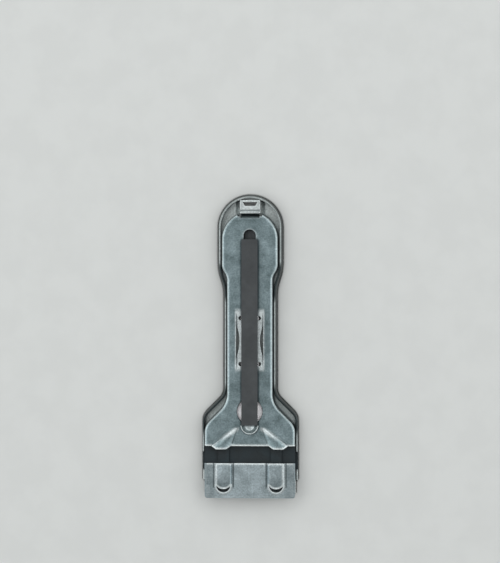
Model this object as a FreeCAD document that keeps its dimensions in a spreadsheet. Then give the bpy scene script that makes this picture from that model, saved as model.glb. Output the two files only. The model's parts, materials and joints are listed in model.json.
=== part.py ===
"""Hand-held hob scraper with a retracting blade, in millimetres.

The scraper lies flat on its base: +Z is up, +Y points to the rounded tail, -Y to the blade,
and the origin is under the middle of its length, on the surface that it lies on.
"""
import FreeCAD, Part
import math
import os
from FreeCAD import Vector

SIZES = {
    # overall
    "overall_length": 140.0,
    "sheet_gauge": 0.8,
    "running_gap": 0.3,
    # base tray
    "base_tail_width": 30.0,
    "base_handle_width": 24.6,
    "base_wall_height": 4.2,
    "base_wall_lean": 0.9,
    "base_tail_length": 31.0,
    "base_neck_length": 15.6,
    "base_shoulder_from_front": 50.6,
    "base_shoulder_radius": 6.2,
    "base_edge_radius": 1.0,
    "base_rim_radius": 0.5,
    "tall_wall_end_from_front": 21.5,
    "low_rim_end_from_front": 8.2,
    "low_rim_height": 1.2,
    "floor_setback": 2.0,
    # cover
    "cover_top": 7.0,
    "cover_side_gap": 0.3,
    "cover_tail_setback": 7.7,
    "cover_tail_width": 25.8,
    "cover_handle_width": 21.0,
    "cover_tail_length": 24.3,
    "cover_neck_length": 7.7,
    "cover_shoulder_from_front": 48.3,
    "cover_shoulder_inner_radius": 11.0,
    "cover_shoulder_outer_radius": 7.5,
    "shoulder_angle": 45.0,
    "cover_rim_radius": 1.3,
    "skirt_lift": 0.4,
    "window_depth": 8.0,
    # slot, round hole and sprung saddle in the cover
    "slot_width": 5.8,
    "slot_tail_margin": 8.3,
    "hole_diameter": 12.0,
    "hole_from_edge": 15.9,
    "saddle_centre": 2.5,
    "saddle_length": 27.0,
    "saddle_width": 12.6,
    "saddle_drop": 0.7,
    "saddle_ramp": 5.0,
    "slit_length": 15.4,
    "slit_depth": 1.6,
    "relief_diameter": 2.0,
    "relief_spacing": 8.4,
    "relief_pitch": 21.2,
    # flutes that fan out to arches in the cover's front edge
    "arch_spacing": 26.4,
    "arch_width": 9.0,
    "arch_crown_width": 4.6,
    "arch_height": 1.0,
    "arch_reach": 1.5,
    "flute_tip_spacing": 12.2,
    "flute_tip_width": 1.0,
    "flute_length": 8.3,
    # hook at the tail
    "tongue_width": 8.4,
    "tongue_top": 3.2,
    "tongue_length": 3.6,
    "tongue_ramp": 1.4,
    "tail_notch_width": 11.4,
    "strap_setback": 2.4,
    "strap_depth": 6.2,
    "strap_leg": 2.0,
    "strap_window_margin": 0.9,
    "strap_window_length": 1.8,
    "strap_window_rear_width": 7.0,
    "strap_window_front_width": 4.8,
    "strap_groove_from_front": 1.3,
    "strap_groove_radius": 0.5,
    "strap_groove_depth": 0.3,
    # front guard
    "guard_depth": 16.1,
    "guard_corner_radius": 1.2,
    "guard_arm_height": 1.2,
    "guard_arm_reach": 4.9,
    "rib_spacing": 24.4,
    "rib_width": 8.9,
    "rib_crown_width": 6.6,
    "rib_height": 1.0,
    "rib_end_from_front": 1.4,
    "crescent_radius": 3.2,
    "crescent_width": 1.6,
    "crescent_lip_radius": 4.4,
    # blades
    "blade_length": 40.0,
    "blade_side_margin": 2.0,
    "blade_depth": 18.0,
    "blade_gauge": 0.3,
    "blade_bevel": 1.6,
    "blade_edge_gauge": 0.06,
    "blade_hole_diameter": 3.2,
    "blade_hole_pitch": 20.0,
    "blade_hole_from_back": 4.5,
    "edge_setback": 2.5,
    "spare_from_tail": 15.5,
    # sliding carrier
    "slide_travel": 11.0,
    "ear_length": 8.0,
    "ear_thickness": 1.2,
    "carrier_reach": 7.9,
    "runner_height": 0.8,
    "runner_reach": 1.0,
    "runner_width": 5.0,
    "peg_clearance": 0.1,
    # drive strip
    "strip_gauge": 0.8,
    "strip_head_width": 14.0,
    "strip_head_length": 24.0,
    "strip_tail_width": 8.4,
    "strip_seat_length": 8.0,
    # thumb slide with its necks
    "bar_width": 7.4,
    "bar_thickness": 1.9,
    "bar_lift": 0.2,
    "bar_from_edge": 9.6,
    "bar_tail_gap": 4.6,
    "bar_edge_radius": 0.5,
    "neck_length": 10.0,
    "neck_clearance": 0.2,
    "rear_neck_inset": 14.4,
    # leaf that clicks the slide into place
    "leaf_gauge": 0.3,
    "leaf_tail_width": 5.2,
    "leaf_nose_radius": 4.1,
    "leaf_seat_depth": 0.7,
    "leaf_seat_clearance": 0.2,
    "leaf_rim_width": 0.45,
    "leaf_rim_height": 0.25,
    "pip_radius": 2.0,
    "pip_depth": 0.45,
    "pip_reach": 0.5,
    # fasteners
    "screw_diameter": 2.2,
    "screw_length": 3.4,
    "screw_head_diameter": 4.4,
    "screw_head_height": 0.9,
    "rivet_diameter": 2.0,
    "rivet_length": 2.4,
    "rivet_head_diameter": 3.6,
    "rivet_head_height": 0.4,
    "rivet_pitch": 8.0,
    "rivet_setback": 2.4,
    "leaf_rivet_length": 1.0,
}

TOLERANCE = 1e-6

doc = FreeCAD.newDocument("hob_scraper")
sheet = doc.addObject("Spreadsheet::Sheet", "sizes")
for row, (alias, number) in enumerate(SIZES.items(), start=1):
    sheet.set(f"A{row}", alias)
    sheet.set(f"B{row}", str(number))
    sheet.setAlias(f"B{row}", alias)
doc.recompute()

# Places along the length, as expressions of the sheet
TAIL_END = "(sizes.overall_length / 2)"
GUARD_FRONT = "(-sizes.overall_length / 2)"
GUARD_REAR = f"({GUARD_FRONT} + sizes.guard_depth)"
COVER_FRONT = f"({GUARD_REAR} + sizes.window_depth)"
COVER_TAIL = f"({TAIL_END} - sizes.cover_tail_setback)"
SLOT_REAR = f"({COVER_TAIL} - sizes.slot_tail_margin)"
HOLE_CENTRE = f"({COVER_FRONT} + sizes.hole_from_edge)"
TALL_WALL_END = f"({GUARD_FRONT} + sizes.tall_wall_end_from_front)"
LOW_RIM_END = f"({GUARD_FRONT} + sizes.low_rim_end_from_front)"
FLOOR_FRONT = f"({GUARD_FRONT} + sizes.floor_setback)"
STRAP_REAR = f"({TAIL_END} - sizes.strap_setback)"
STRAP_FRONT = f"({STRAP_REAR} - sizes.strap_depth)"
BLADE_EDGE = f"({GUARD_FRONT} + sizes.edge_setback)"
BLADE_BACK = f"({BLADE_EDGE} + sizes.blade_depth)"
BLADE_HOLES = f"({BLADE_BACK} - sizes.blade_hole_from_back)"
EAR_REAR = f"({TALL_WALL_END} - sizes.running_gap)"
EAR_FRONT = f"({EAR_REAR} - sizes.ear_length)"
FLANGE_REAR = f"({COVER_FRONT} - sizes.running_gap)"
FLANGE_FRONT = f"({GUARD_REAR} + sizes.running_gap)"
LEG_REAR = f"({FLANGE_FRONT} - sizes.slide_travel - sizes.running_gap)"
RUNNER_FRONT = f"({GUARD_REAR} - sizes.runner_reach)"
CARRIER_REAR = f"({COVER_FRONT} + sizes.carrier_reach)"
RIVET_ROW = f"({CARRIER_REAR} - sizes.rivet_setback)"
SEAT_FRONT = f"({CARRIER_REAR} - sizes.strip_seat_length)"
STRIP_HEAD_REAR = f"({SEAT_FRONT} + sizes.strip_head_length)"
BAR_FRONT = f"({COVER_FRONT} + sizes.bar_from_edge)"
BAR_REAR = f"({SLOT_REAR} - sizes.bar_tail_gap)"
NECK_WIDTH = "(sizes.slot_width - 2 * sizes.neck_clearance)"
HOLE_STOP = f"({HOLE_CENTRE} - sqrt((sizes.hole_diameter / 2) ^ 2 - ({NECK_WIDTH} / 2) ^ 2))"
FRONT_NECK = f"({HOLE_STOP} + sizes.slide_travel + sizes.running_gap + sizes.neck_length / 2)"
REAR_NECK = f"({BAR_REAR} - sizes.rear_neck_inset - sizes.neck_length / 2)"
STRIP_REAR = f"({REAR_NECK} + sizes.neck_length / 2 + sizes.neck_clearance)"
LEAF_REAR = f"({FRONT_NECK} - sizes.neck_length / 2 - 2 * sizes.leaf_seat_clearance)"
LEAF_RIVET = f"({LEAF_REAR} - sizes.rivet_head_diameter)"

# Half widths at the head, which is as wide as the blade needs
HEAD_HALF = "(sizes.blade_length / 2 + sizes.blade_side_margin)"
COVER_HALF = f"({HEAD_HALF} - sizes.sheet_gauge - sizes.cover_side_gap)"
ARM_OUTER = f"({COVER_HALF} - sizes.sheet_gauge)"
ARM_INNER = f"({ARM_OUTER} - sizes.sheet_gauge)"
CARRIER_HALF = f"({ARM_INNER} - sizes.running_gap)"

# Levels
COVER_UNDER = "(sizes.cover_top - sizes.sheet_gauge)"
GUARD_UNDER = f"({COVER_UNDER} - sizes.sheet_gauge)"
SKIRT_BOTTOM = "(sizes.sheet_gauge + sizes.skirt_lift)"
BLADE_BOTTOM = "(sizes.sheet_gauge + sizes.running_gap)"
BLADE_TOP = f"({BLADE_BOTTOM} + sizes.blade_gauge)"
EAR_BOTTOM = "(sizes.low_rim_height + sizes.running_gap)"
EAR_TOP = f"({EAR_BOTTOM} + sizes.ear_thickness)"
ARM_BOTTOM = f"({EAR_TOP} + sizes.running_gap)"
ARM_TOP = f"({ARM_BOTTOM} + sizes.guard_arm_height)"
CARRIER_TOP = f"({GUARD_UNDER} - sizes.running_gap)"
STRIP_TOP = f"({COVER_UNDER} - sizes.saddle_drop - sizes.running_gap)"
STRIP_BOTTOM = f"({STRIP_TOP} - sizes.strip_gauge)"
BOSS_TOP = f"({COVER_UNDER} - sizes.running_gap)"
BAR_BOTTOM = "(sizes.cover_top + sizes.bar_lift)"
LEAF_TOP = f"({BAR_BOTTOM} + sizes.leaf_seat_depth)"
LEAF_BOTTOM = f"({LEAF_TOP} - sizes.leaf_gauge)"
STRAP_UNDER = "(sizes.tongue_top + sizes.running_gap)"
STRAP_TOP = f"({STRAP_UNDER} + sizes.sheet_gauge)"


def size(expression):
    """The number that an expression of the sheet stands for."""
    return float(sheet.evalExpression(expression))


def cell(alias):
    return float(sheet.get(alias))


# Small parametric solids

def bind(item, prop, expression):
    item.setExpression(prop, str(expression))


def place(item, x, y, z):
    bind(item, "Placement.Base.x", x)
    bind(item, "Placement.Base.y", y)
    bind(item, "Placement.Base.z", z)


def box(name, half_x, y_low, y_high, z_low, z_high):
    """A block centred across the width, between two places along the length and two levels."""
    item = doc.addObject("Part::Box", name)
    bind(item, "Length", f"2 * {half_x}")
    bind(item, "Width", f"{y_high} - {y_low}")
    bind(item, "Height", f"{z_high} - {z_low}")
    place(item, f"-{half_x}", y_low, z_low)
    return item


def cylinder(name, radius, x, y, z_low, z_high):
    item = doc.addObject("Part::Cylinder", name)
    bind(item, "Radius", radius)
    bind(item, "Height", f"{z_high} - {z_low}")
    place(item, x, y, z_low)
    return item


def fuse(name, items):
    item = doc.addObject("Part::MultiFuse", name)
    item.Shapes = items
    return item


def cut(name, base, tools):
    """The base less the tools, which are joined first when there is more than one."""
    item = doc.addObject("Part::Cut", name)
    item.Base = base
    item.Tool = tools[0] if len(tools) == 1 else fuse(name + "_tools", tools)
    return item


def round_upright(name, item, radius):
    """Round the four upright edges of a block."""
    doc.recompute()
    rounded = doc.addObject("Part::Fillet", name)
    rounded.Base = item
    edges = []
    for index, edge in enumerate(item.Shape.Edges, start=1):
        ends = [vertex.Point for vertex in edge.Vertexes]
        if abs(ends[0].x - ends[1].x) < TOLERANCE and abs(ends[0].y - ends[1].y) < TOLERANCE:
            edges.append((index, radius, radius))
    rounded.Edges = edges
    return rounded


# Outlines and pressed forms of the sheet parts

def arc(start, middle, end):
    return Part.Arc(Vector(*start), Vector(*middle), Vector(*end)).toShape()


def line(start, end):
    return Part.LineSegment(Vector(*start), Vector(*end)).toShape()


def shell_outline(tail_y, tail_half, neck_y, neck_length, handle_half, shoulder_y,
                  inner_radius, outer_radius, head_half, front_y, level):
    """Round tail, drawn-in handle and flared head, as one closed face at a level."""
    turn = math.radians(cell("shoulder_angle"))
    drop = tail_half - handle_half
    bend = (drop ** 2 + neck_length ** 2) / (4 * drop)
    quarter = math.acos(1 - drop / (2 * bend)) / 2
    side_x = bend * (1 - math.cos(quarter))
    side_y = bend * math.sin(quarter)
    neck_end = neck_y - neck_length
    mid = ((tail_half + handle_half) / 2, neck_y - neck_length / 2)
    first = (handle_half + inner_radius * (1 - math.cos(turn)), shoulder_y - inner_radius * math.sin(turn))
    second_x = head_half - outer_radius * (1 - math.cos(turn))
    second = (second_x, first[1] - (second_x - first[0]) / math.tan(turn))
    corner_y = second[1] - outer_radius * math.sin(turn)
    tail_centre = tail_y - tail_half
    edges = [arc((tail_half, tail_centre, level), (0, tail_y, level), (-tail_half, tail_centre, level))]
    for side in (1, -1):
        def at(x, y):
            return (side * x, y, level)
        edges += [
            line(at(tail_half, tail_centre), at(tail_half, neck_y)),
            arc(at(tail_half, neck_y), at(tail_half - side_x, neck_y - side_y), at(*mid)),
            arc(at(*mid), at(handle_half + side_x, neck_end + side_y), at(handle_half, neck_end)),
            line(at(handle_half, neck_end), at(handle_half, shoulder_y)),
            arc(at(handle_half, shoulder_y),
                at(handle_half + inner_radius * (1 - math.cos(turn / 2)),
                   shoulder_y - inner_radius * math.sin(turn / 2)),
                at(*first)),
            line(at(*first), at(*second)),
            arc(at(*second),
                at(head_half - outer_radius * (1 - math.cos(turn / 2)),
                   corner_y + outer_radius * math.sin(turn / 2)),
                at(head_half, corner_y)),
            line(at(head_half, corner_y), at(head_half, front_y)),
        ]
    edges.append(line((head_half, front_y, level), (-head_half, front_y, level)))
    return Part.Face(Part.Wire(Part.__sortEdges__(edges)))


def round_rim(solid, level, front_y, radius):
    """Round the edges at one level, all but the straight one across the front."""
    rim = []
    for edge in solid.Edges:
        if any(abs(vertex.Z - level) > TOLERANCE for vertex in edge.Vertexes):
            continue
        if all(abs(vertex.Y - front_y) < TOLERANCE for vertex in edge.Vertexes):
            continue
        rim.append(edge)
    return solid.makeFillet(radius, rim)


def block(x_low, x_high, y_low, y_high, z_low, z_high):
    return Part.makeBox(x_high - x_low, y_high - y_low, z_high - z_low, Vector(x_low, y_low, z_low))


def bent_strip(top_points, gauge, half_width):
    """A strip of sheet bent along the length: its top line in Y and Z, extruded across the width."""
    under = [(y, z - gauge) for y, z in reversed(top_points)]
    corners = [Vector(-half_width, y, z) for y, z in list(top_points) + under]
    face = Part.Face(Part.makePolygon(corners + corners[:1]))
    return face.extrude(Vector(2 * half_width, 0, 0))


def pad_outline(x, y_open, y_round, half, level):
    """A straight channel with one round end, seen from above."""
    step = 1 if y_open > y_round else -1
    centre = y_round + step * half
    edges = [
        line((x - half, y_open, level), (x + half, y_open, level)),
        line((x + half, y_open, level), (x + half, centre, level)),
        arc((x + half, centre, level), (x, y_round, level), (x - half, centre, level)),
        line((x - half, centre, level), (x - half, y_open, level)),
    ]
    return Part.Wire(Part.__sortEdges__(edges))


def pressed_rib(x, y_open, y_round, z_low, z_high):
    """A rib pressed up out of the sheet, with sloped sides and one round end."""
    foot = cell("rib_width") / 2
    crown = cell("rib_crown_width") / 2
    inset = foot - crown
    step = 1 if y_open > y_round else -1
    low = pad_outline(x, y_open, y_round, foot, z_low)
    high = pad_outline(x, y_open, y_round + step * inset, crown, z_high)
    return Part.makeLoft([low, high], True, True)


def mirrored(solid):
    return solid.mirror(Vector(0, 0, 0), Vector(1, 0, 0))


# Base tray

def base_shape():
    gauge = cell("sheet_gauge")
    wall_top = cell("base_wall_height")
    head = size(HEAD_HALF)
    front = size(FLOOR_FRONT)
    edge_radius = cell("base_edge_radius")
    slope = cell("base_wall_lean") / wall_top
    widest = edge_radius * (slope + math.hypot(1, slope) - 1)

    def outline(inset, front_y, level):
        """The outline at a level: the walls lean in along the handle, and stand upright at the head.

        The handle has its full width where its rounded bottom edge turns upright.
        """
        grip = inset + slope * level - widest
        return shell_outline(
            size(TAIL_END) - grip, cell("base_tail_width") / 2 - grip,
            size(TAIL_END) - cell("base_tail_length"), cell("base_neck_length"),
            cell("base_handle_width") / 2 - grip,
            size(GUARD_FRONT) + cell("base_shoulder_from_front"),
            cell("base_shoulder_radius") + grip, cell("base_shoulder_radius") - inset,
            head - inset, front_y, level).OuterWire

    def filled(inset, front_y, low, high):
        return Part.makeLoft([outline(inset, front_y, low), outline(inset, front_y, high)], True, True)

    body = filled(0, front, 0, wall_top)
    body = round_rim(body, 0, front, edge_radius)
    body = round_rim(body, wall_top, front, cell("base_rim_radius"))
    body = body.cut(filled(gauge, front - head, gauge, wall_top + gauge))
    guard_half = size(COVER_HALF)
    low_rim = block(-head, head, front - gauge, size(TALL_WALL_END),
                    cell("low_rim_height"), 2 * wall_top)
    body = body.cut(low_rim)
    for side in (block(guard_half, 2 * head, front - gauge, size(LOW_RIM_END), -gauge, wall_top),
                 block(-2 * head, -guard_half, front - gauge, size(LOW_RIM_END), -gauge, wall_top)):
        body = body.cut(side)
    return body.cut(strap_opening()).fuse(strap_shape()).removeSplitter()


def strap_shape():
    """The strap at the tail that the cover's tongue hooks under, with a tapered window and a groove."""
    gauge = cell("sheet_gauge")
    half = cell("tongue_width") / 2 + cell("running_gap")
    foot = half + cell("strap_leg")
    top = size(STRAP_TOP)
    over = [(-foot - gauge, gauge), (-foot, gauge), (-half, top),
            (half, top), (foot, gauge), (foot + gauge, gauge)]
    under = [(x, z - gauge) for x, z in reversed(over)]
    corners = [Vector(x, size(STRAP_FRONT), z) for x, z in over + under]
    face = Part.Face(Part.makePolygon(corners + corners[:1]))
    strap = face.extrude(Vector(0, cell("strap_depth"), 0))
    wide = cell("strap_window_rear_width") / 2
    narrow = cell("strap_window_front_width") / 2
    rear = size(STRAP_REAR) - cell("strap_window_margin")
    front = rear - cell("strap_window_length")
    points = [Vector(x, y, size(STRAP_UNDER)) for x, y in
              ((-narrow, front), (narrow, front), (wide, rear), (-wide, rear))]
    window = Part.Face(Part.makePolygon(points + points[:1])).extrude(Vector(0, 0, 2 * gauge))
    radius = cell("strap_groove_radius")
    groove_y = size(STRAP_FRONT) + cell("strap_groove_from_front")
    groove_z = top + radius - cell("strap_groove_depth")
    groove = Part.makeCylinder(radius, 2 * half, Vector(-half, groove_y, groove_z), Vector(1, 0, 0))
    return strap.cut([window, groove])


def strap_opening():
    """What the strap leaves open in the floor."""
    gauge = cell("sheet_gauge")
    half = cell("tongue_width") / 2 + cell("running_gap")
    return block(-half, half, size(STRAP_FRONT), size(STRAP_REAR), -gauge, gauge)


# Cover

def cover_shape():
    gauge = cell("sheet_gauge")
    top = cell("cover_top")
    front = size(COVER_FRONT)
    bottom = size(SKIRT_BOTTOM)
    head = size(COVER_HALF)

    def outline(inset, front_y, level):
        return shell_outline(
            size(COVER_TAIL) - inset, cell("cover_tail_width") / 2 - inset,
            size(TAIL_END) - cell("cover_tail_length") - cell("cover_tail_setback"),
            cell("cover_neck_length"), cell("cover_handle_width") / 2 - inset,
            size(GUARD_FRONT) + cell("cover_shoulder_from_front"),
            cell("cover_shoulder_inner_radius") + inset, cell("cover_shoulder_outer_radius") - inset,
            head - inset, front_y, level)

    outer = outline(0, front, bottom).extrude(Vector(0, 0, top - bottom))
    outer = round_rim(outer, top, front, cell("cover_rim_radius"))
    inner_front = front - gauge
    inner = outline(gauge, inner_front, bottom - gauge).extrude(Vector(0, 0, top - bottom))
    inner = round_rim(inner, top - gauge, inner_front, cell("cover_rim_radius") - gauge)
    body = outer.cut(inner)
    body = with_flutes(body)
    body = with_saddle(body)
    body = body.cut(slot_shape())
    body = with_tongue(body)
    return body.removeSplitter()


def with_flutes(body):
    """Two flutes pressed up out of the sheet, each an open arch at the front edge."""
    flute, hollow = flute_shapes()
    return body.fuse([flute, mirrored(flute)]).cut([hollow, mirrored(hollow)])


def flute_shapes():
    """One flute, which tapers from its arch back to a tip nearer the middle, and the hollow under it."""
    gauge = cell("sheet_gauge")
    top = cell("cover_top")
    edge = size(COVER_FRONT)
    arch_x = cell("arch_spacing") / 2
    foot = cell("arch_width") / 2
    crown = cell("arch_crown_width") / 2
    front = edge - cell("arch_reach")
    tip_x = cell("flute_tip_spacing") / 2
    tip_y = edge + cell("flute_length")
    tip_half = cell("flute_tip_width") / 2

    def section(y):
        share = (tip_y - y) / cell("flute_length")
        x = tip_x + share * (arch_x - tip_x)
        half = tip_half + share * (foot - tip_half)
        rise = cell("arch_height") * half / foot
        corners = [Vector(x - half, y, top), Vector(x - half, y, top - gauge),
                   Vector(x + half, y, top - gauge), Vector(x + half, y, top)]
        sides = Part.makePolygon(corners)
        back = Part.Arc(corners[-1], Vector(x, y, top + rise), corners[0]).toShape()
        return Part.Wire(sides.Edges + [back])

    flute = Part.makeLoft([section(front - gauge), section(tip_y)], True, True)
    plan = [(arch_x + foot, edge), (arch_x + crown, front), (arch_x - crown, front), (arch_x - foot, edge),
            (0, edge), (0, tip_y + gauge), (arch_x + foot, tip_y + gauge)]
    points = [Vector(x, y, 0) for x, y in plan]
    room = Part.Face(Part.makePolygon(points + points[:1])).extrude(Vector(0, 0, 2 * top))
    hollow = flute.copy()
    hollow.translate(Vector(0, 0, -gauge))
    return flute.common(room), hollow


def with_saddle(body):
    """The sunk saddle at mid handle, slit on both sides so that its arms are springs."""
    top = cell("cover_top")
    half = cell("saddle_width") / 2
    centre = cell("saddle_centre")
    low = centre - cell("saddle_length") / 2
    high = centre + cell("saddle_length") / 2
    ramp = cell("saddle_ramp")
    sunk = top - cell("saddle_drop")
    gauge = cell("sheet_gauge")
    body = body.cut(block(-half, half, low, high, top - gauge, top))
    line_down = [(low, top), (low + ramp, sunk), (high - ramp, sunk), (high, top)]
    body = body.fuse(bent_strip(line_down, gauge, half))
    depth = top - gauge - cell("saddle_drop")
    slit_half = cell("slit_length") / 2
    slit_edges = [
        line((half, centre - slit_half, depth), (half, centre + slit_half, depth)),
        arc((half, centre + slit_half, depth), (half - cell("slit_depth"), centre, depth),
            (half, centre - slit_half, depth)),
    ]
    slit = Part.Face(Part.Wire(slit_edges)).extrude(Vector(0, 0, top - depth))
    cuts = [slit, mirrored(slit)]
    relief_radius = cell("relief_diameter") / 2
    for x in (-cell("relief_spacing") / 2, cell("relief_spacing") / 2):
        for y in (centre - cell("relief_pitch") / 2, centre + cell("relief_pitch") / 2):
            cuts.append(Part.makeCylinder(relief_radius, top - depth + gauge, Vector(x, y, depth - gauge)))
    return body.cut(cuts)


def slot_shape():
    """The long slot with its round rear end, open into the round hole."""
    radius = cell("slot_width") / 2
    low = size(STRIP_TOP)
    tall = 2 * cell("cover_top") - low
    rear = size(SLOT_REAR) - radius
    hole_y = size(HOLE_CENTRE)
    run = block(-radius, radius, hole_y, rear, low, low + tall)
    end = Part.makeCylinder(radius, tall, Vector(0, rear, low))
    hole = Part.makeCylinder(cell("hole_diameter") / 2, tall, Vector(0, hole_y, low))
    return run.fuse([end, hole])


def with_tongue(body):
    """The tail of the cover bent down into the tongue that hooks under the strap."""
    top = cell("cover_top")
    half = cell("tongue_width") / 2
    ramp_end = size(STRAP_FRONT) - 2 * cell("running_gap")
    ramp_start = ramp_end - cell("tongue_ramp")
    tongue_end = size(STRAP_FRONT) + cell("tongue_length")
    notch = cell("tail_notch_width") / 2
    slit = half + cell("running_gap")
    body = body.cut(block(-slit, slit, ramp_start, size(TAIL_END), 0, top))
    body = body.cut(block(-notch, notch, ramp_end - cell("sheet_gauge"), size(TAIL_END), 0, top))
    line_down = [(ramp_start, top), (ramp_end, cell("tongue_top")), (tongue_end, cell("tongue_top"))]
    return body.fuse(bent_strip(line_down, cell("sheet_gauge"), half))


# Front guard

def guard_shape():
    gauge = cell("sheet_gauge")
    half = size(COVER_HALF)
    front = size(GUARD_FRONT)
    rear = size(GUARD_REAR)
    under = size(GUARD_UNDER)
    plate = block(-half, half, front, rear, under, under + gauge)
    corners = []
    for edge in plate.Edges:
        upright = abs(edge.Vertexes[0].Z - edge.Vertexes[1].Z) > gauge / 2
        if upright and abs(edge.Vertexes[0].Y - front) < TOLERANCE:
            corners.append(edge)
    plate = plate.makeFillet(cell("guard_corner_radius"), corners)
    rib_front = front + cell("rib_end_from_front")
    rib = pressed_rib(cell("rib_spacing") / 2, rear, rib_front, under, under + gauge + cell("rib_height"))
    hollow = rib.copy()
    hollow.translate(Vector(0, 0, -gauge))
    crescent = crescent_shape(cell("rib_spacing") / 2, rib_front + cell("rib_width") / 2)
    arm = arm_shape()
    plate = plate.fuse([rib, mirrored(rib)]).cut([hollow, mirrored(hollow), crescent, mirrored(crescent)])
    return plate.fuse([arm, mirrored(arm)]).removeSplitter()


def crescent_shape(x, y):
    """The crescent opening at the end of a rib."""
    radius = cell("crescent_radius")
    low = size(GUARD_UNDER) - cell("sheet_gauge")
    tall = 2 * cell("cover_top")
    ring = Part.makeCylinder(radius, tall, Vector(x, y, low))
    lip_radius = cell("crescent_lip_radius")
    lip_centre = y - radius + cell("crescent_width") + lip_radius
    lip = Part.makeCylinder(lip_radius, tall, Vector(x, lip_centre, low))
    return ring.cut(lip)


def arm_shape():
    """One side arm that reaches back inside the cover's skirt, where it is welded."""
    inner = size(ARM_INNER)
    outer = size(ARM_OUTER)
    rear = size(COVER_FRONT) + cell("guard_arm_reach")
    front = size(GUARD_FRONT) + cell("guard_corner_radius")
    arm = block(inner, outer, front, rear, size(ARM_BOTTOM), size(ARM_TOP))
    leg = block(inner, outer, front, size(LEG_REAR), size(ARM_BOTTOM), size(GUARD_UNDER))
    return arm.fuse(leg)


def sheet_part(label, shape):
    item = doc.addObject("Part::Feature", label)
    item.Shape = shape
    item.Placement = FreeCAD.Placement()
    return item


# Blades

def blade(label, bottom):
    """A flat blade with two holes for the pegs and a ground edge, at its working place."""
    top = f"({bottom} + sizes.blade_gauge)"
    steel = box(label + "_steel", "(sizes.blade_length / 2)", BLADE_EDGE, BLADE_BACK, bottom, top)
    radius = "sizes.blade_hole_diameter / 2"
    holes = []
    for side, sign in (("left", "-"), ("right", "")):
        x = f"{sign}sizes.blade_hole_pitch / 2"
        holes.append(cylinder(f"{label}_hole_{side}", radius, x, BLADE_HOLES, bottom, top))
    wedge = doc.addObject("Part::Wedge", label + "_bevel")
    for prop, expression in (
            ("Xmin", "0"), ("X2min", "0"), ("Xmax", "sizes.blade_length"), ("X2max", "sizes.blade_length"),
            ("Ymin", "0"), ("Ymax", "sizes.blade_bevel"), ("Zmin", "0"),
            ("Zmax", "sizes.blade_gauge - sizes.blade_edge_gauge"), ("Z2min", "0"), ("Z2max", "0")):
        bind(wedge, prop, expression)
    wedge.Placement = FreeCAD.Placement(Vector(0, 0, 0), FreeCAD.Rotation(Vector(0, 1, 0), 180))
    place(wedge, "sizes.blade_length / 2", BLADE_EDGE, top)
    return cut(label, steel, holes + [wedge])


# Carrier and the strip that drives it

def carrier():
    runner_half = "(sizes.runner_width / 2)"
    flange_bottom = f"({ARM_TOP} + sizes.running_gap)"
    parts = [
        box("carrier_block", CARRIER_HALF, EAR_FRONT, CARRIER_REAR, BLADE_TOP, CARRIER_TOP),
        box("carrier_ears", HEAD_HALF, EAR_FRONT, EAR_REAR, EAR_BOTTOM, EAR_TOP),
        box("carrier_flange", COVER_HALF, FLANGE_FRONT, FLANGE_REAR, flange_bottom, CARRIER_TOP),
    ]
    for side, sign in (("left", "-"), ("right", "")):
        x = f"{sign}sizes.rib_spacing / 2"
        runner = doc.addObject("Part::Box", f"carrier_runner_{side}")
        bind(runner, "Length", "sizes.runner_width")
        bind(runner, "Width", f"{COVER_FRONT} - {RUNNER_FRONT}")
        bind(runner, "Height", "sizes.runner_height")
        place(runner, f"{x} - {runner_half}", RUNNER_FRONT, CARRIER_TOP)
        parts.append(runner)
        peg_x = f"{sign}sizes.blade_hole_pitch / 2"
        peg_radius = "(sizes.blade_hole_diameter / 2 - sizes.peg_clearance)"
        parts.append(cylinder(f"carrier_peg_{side}", peg_radius, peg_x, BLADE_HOLES, BLADE_BOTTOM, BLADE_TOP))
    seat_half = "(sizes.strip_head_width / 2 + sizes.neck_clearance)"
    cuts = [box("carrier_seat", seat_half, SEAT_FRONT, CARRIER_REAR, STRIP_BOTTOM, CARRIER_TOP)]
    cuts += rivet_holes("carrier_rivet_hole", f"({STRIP_TOP} - sizes.rivet_length)", STRIP_BOTTOM)
    return cut("blade_carrier", fuse("carrier_solid", parts), cuts)


def rivet_holes(name, low, high):
    holes = []
    for side, sign in (("left", "-"), ("right", "")):
        x = f"{sign}sizes.rivet_pitch / 2"
        holes.append(cylinder(f"{name}_{side}", "sizes.rivet_diameter / 2", x, RIVET_ROW, low, high))
    return holes


def drive_strip():
    """The strip under the slot, pressed up into a round boss that shows in the cover's round hole."""
    head_half = "(sizes.strip_head_width / 2)"
    tail_half = "(sizes.strip_tail_width / 2)"
    head_end = f"({STRIP_HEAD_REAR} - sizes.strip_head_width / 2)"
    parts = [
        box("strip_head", head_half, SEAT_FRONT, head_end, STRIP_BOTTOM, STRIP_TOP),
        cylinder("strip_shoulder", head_half, "0", head_end, STRIP_BOTTOM, STRIP_TOP),
        box("strip_tail", tail_half, head_end, STRIP_REAR, STRIP_BOTTOM, STRIP_TOP),
    ]
    boss_radius = "(sizes.hole_diameter / 2 - sizes.neck_clearance)"
    boss_bottom = f"({BOSS_TOP} - sizes.strip_gauge)"
    parts.append(cylinder("strip_boss", boss_radius, "0", HOLE_CENTRE, STRIP_BOTTOM, BOSS_TOP))
    dent_radius = f"({boss_radius} - sizes.strip_gauge)"
    cuts = [cylinder("strip_dent", dent_radius, "0", HOLE_CENTRE, STRIP_BOTTOM, boss_bottom)]
    cuts += rivet_holes("strip_rivet_hole", STRIP_BOTTOM, STRIP_TOP)
    cuts += screw_holes("strip_screw_hole", STRIP_BOTTOM, STRIP_TOP)
    return cut("drive_strip", fuse("strip_solid", parts), cuts)


# Thumb slide and its click leaf

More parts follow.
